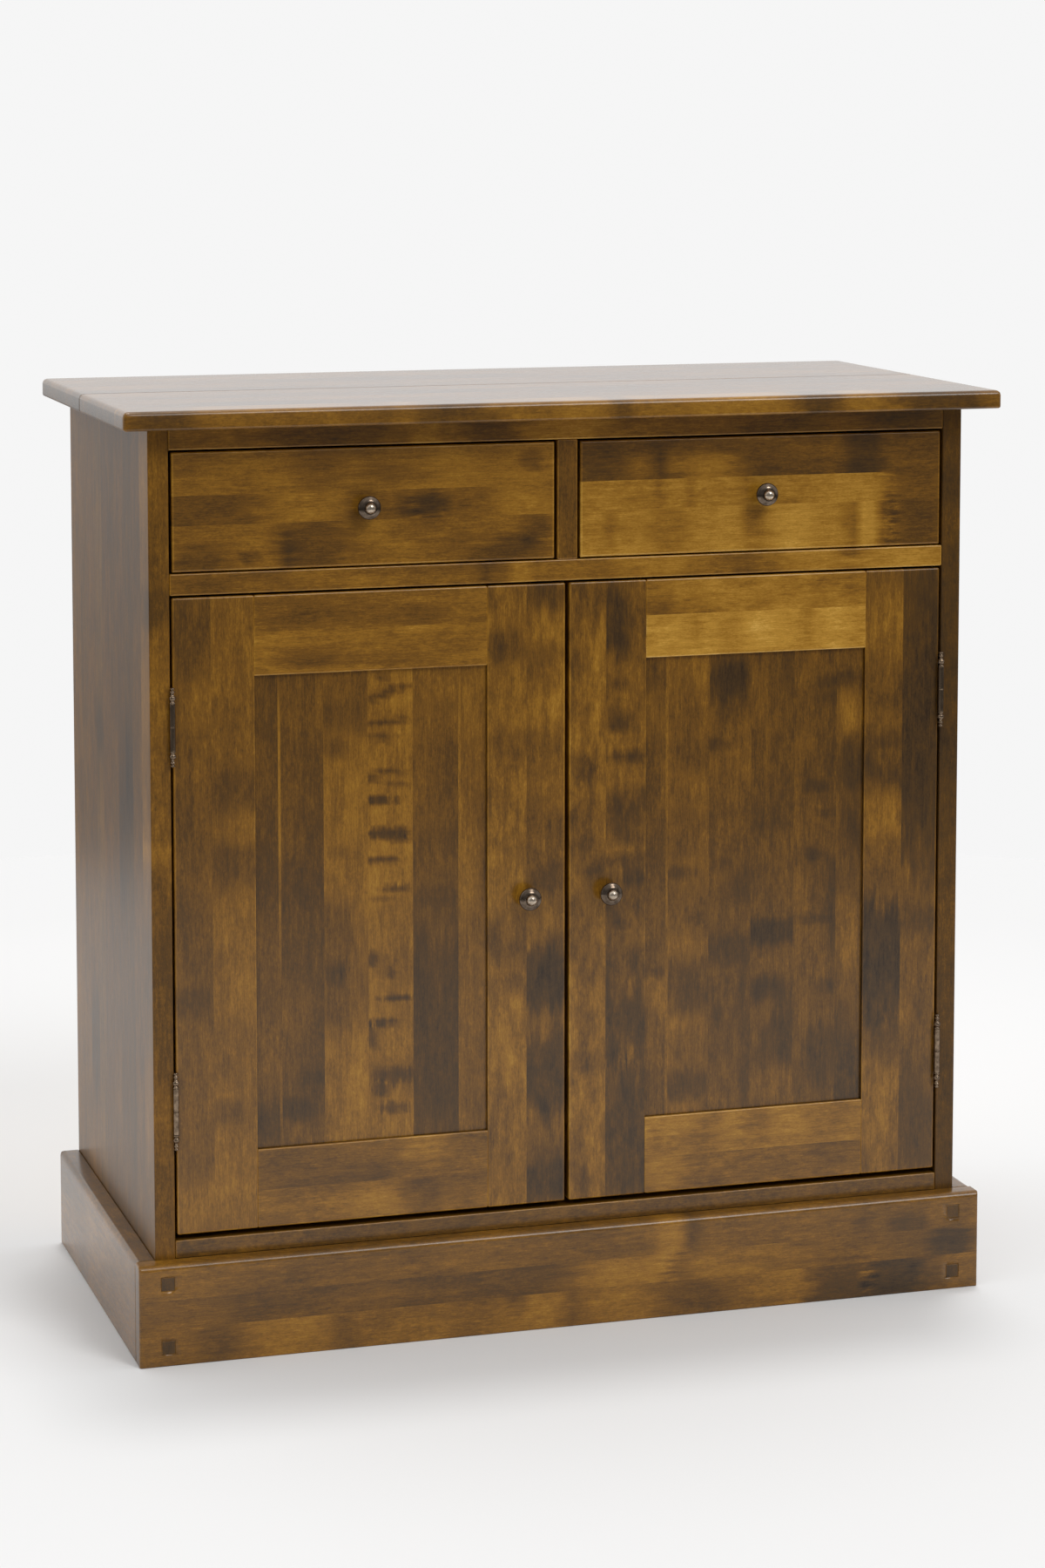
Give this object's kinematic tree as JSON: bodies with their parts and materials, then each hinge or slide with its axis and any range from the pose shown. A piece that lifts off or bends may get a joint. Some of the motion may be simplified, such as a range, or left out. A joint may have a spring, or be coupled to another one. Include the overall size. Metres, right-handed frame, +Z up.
{
  "type": "sideboard",
  "caption": "Free-standing stained-birch sideboard with drawers above panelled cupboard doors, inset in a flush front, on a projecting plinth.",
  "frame": {"origin": "on the floor, under the middle of the box that encloses the cabinet", "axes": "+X to the right seen from the front, +Y from the front to the back, +Z up"},
  "size_m": [1.027, 0.503, 1.064],
  "materials": {
    "stained_birch": "stained birch staves under satin lacquer",
    "stained_panel": "stained birch staves under satin lacquer",
    "plug_wood": "end grain, stained dark, satin lacquer",
    "pale_birch": "clear matt lacquer",
    "birch_plywood": "clear matt lacquer",
    "pewter": "antique pewter, satin",
    "bronze": "antique bronze, satin",
    "brown_plastic": "moulded, matt"
  },
  "bodies": {
    "root": {"back_panel": "birch_plywood", "side_panel_left": "stained_birch", "side_panel_right": "stained_birch", "floor_panel": "stained_birch", "top_front_rail": "stained_birch", "top_rear_rail": "stained_birch", "middle_rail": "stained_birch", "dust_panel": "pale_birch", "drawer_partition": "stained_birch", "top_front_board": "stained_birch", "top_rear_board": "stained_birch", "plinth_front": "stained_birch", "plinth_side_left": "stained_birch", "plinth_side_right": "stained_birch", "plinth_rear_rail": "stained_birch", "plinth_plug_left_lower": "plug_wood", "plinth_plug_left_upper": "plug_wood", "plinth_plug_right_lower": "plug_wood", "plinth_plug_right_upper": "plug_wood", "shelf": "stained_birch", "shelf_cleat_left": "stained_birch", "shelf_cleat_right": "stained_birch", "door_catch": "brown_plastic", "hinge_frame_leaf_left_upper": "bronze", "hinge_frame_leaf_left_lower": "bronze", "hinge_frame_leaf_right_upper": "bronze", "hinge_frame_leaf_right_lower": "bronze", "hinge_pin_left_upper": "bronze", "hinge_pin_left_lower": "bronze", "hinge_pin_right_upper": "bronze", "hinge_pin_right_lower": "bronze"},
    "door_left": {"door_panel_left": "stained_panel", "door_hinge_stile_left": "stained_birch", "door_lock_stile_left": "stained_birch", "door_top_rail_left": "stained_birch", "door_bottom_rail_left": "stained_birch", "door_knob_left": "pewter", "hinge_door_leaf_left_upper": "bronze", "hinge_door_leaf_left_lower": "bronze"},
    "door_right": {"door_panel_right": "stained_panel", "door_hinge_stile_right": "stained_birch", "door_lock_stile_right": "stained_birch", "door_top_rail_right": "stained_birch", "door_bottom_rail_right": "stained_birch", "door_knob_right": "pewter", "hinge_door_leaf_right_upper": "bronze", "hinge_door_leaf_right_lower": "bronze"},
    "drawer_left": {"drawer_front_left": "stained_birch", "drawer_bottom_left": "birch_plywood", "drawer_inner_wall_left": "pale_birch", "drawer_outer_wall_left": "pale_birch", "drawer_back_left": "pale_birch", "drawer_knob_left": "pewter"},
    "drawer_right": {"drawer_front_right": "stained_birch", "drawer_bottom_right": "birch_plywood", "drawer_inner_wall_right": "pale_birch", "drawer_outer_wall_right": "pale_birch", "drawer_back_right": "pale_birch", "drawer_knob_right": "pewter"}
  },
  "joints": [
    {"name": "door_left_hinge", "type": "hinge", "parent": "root", "child": "door_left", "pos_m": [-0.45575, -0.2178, 0.49825], "axis": [0, 0, -1], "range_deg": [0, 175]},
    {"name": "door_right_hinge", "type": "hinge", "parent": "root", "child": "door_right", "pos_m": [0.45575, -0.2178, 0.49825], "axis": [0, 0, 1], "range_deg": [0, 175]},
    {"name": "drawer_left_slide", "type": "slide", "parent": "root", "child": "drawer_left", "axis": [0, -1, 0], "range_m": [0, 0.32]},
    {"name": "drawer_right_slide", "type": "slide", "parent": "root", "child": "drawer_right", "axis": [0, -1, 0], "range_m": [0, 0.32]}
  ]
}
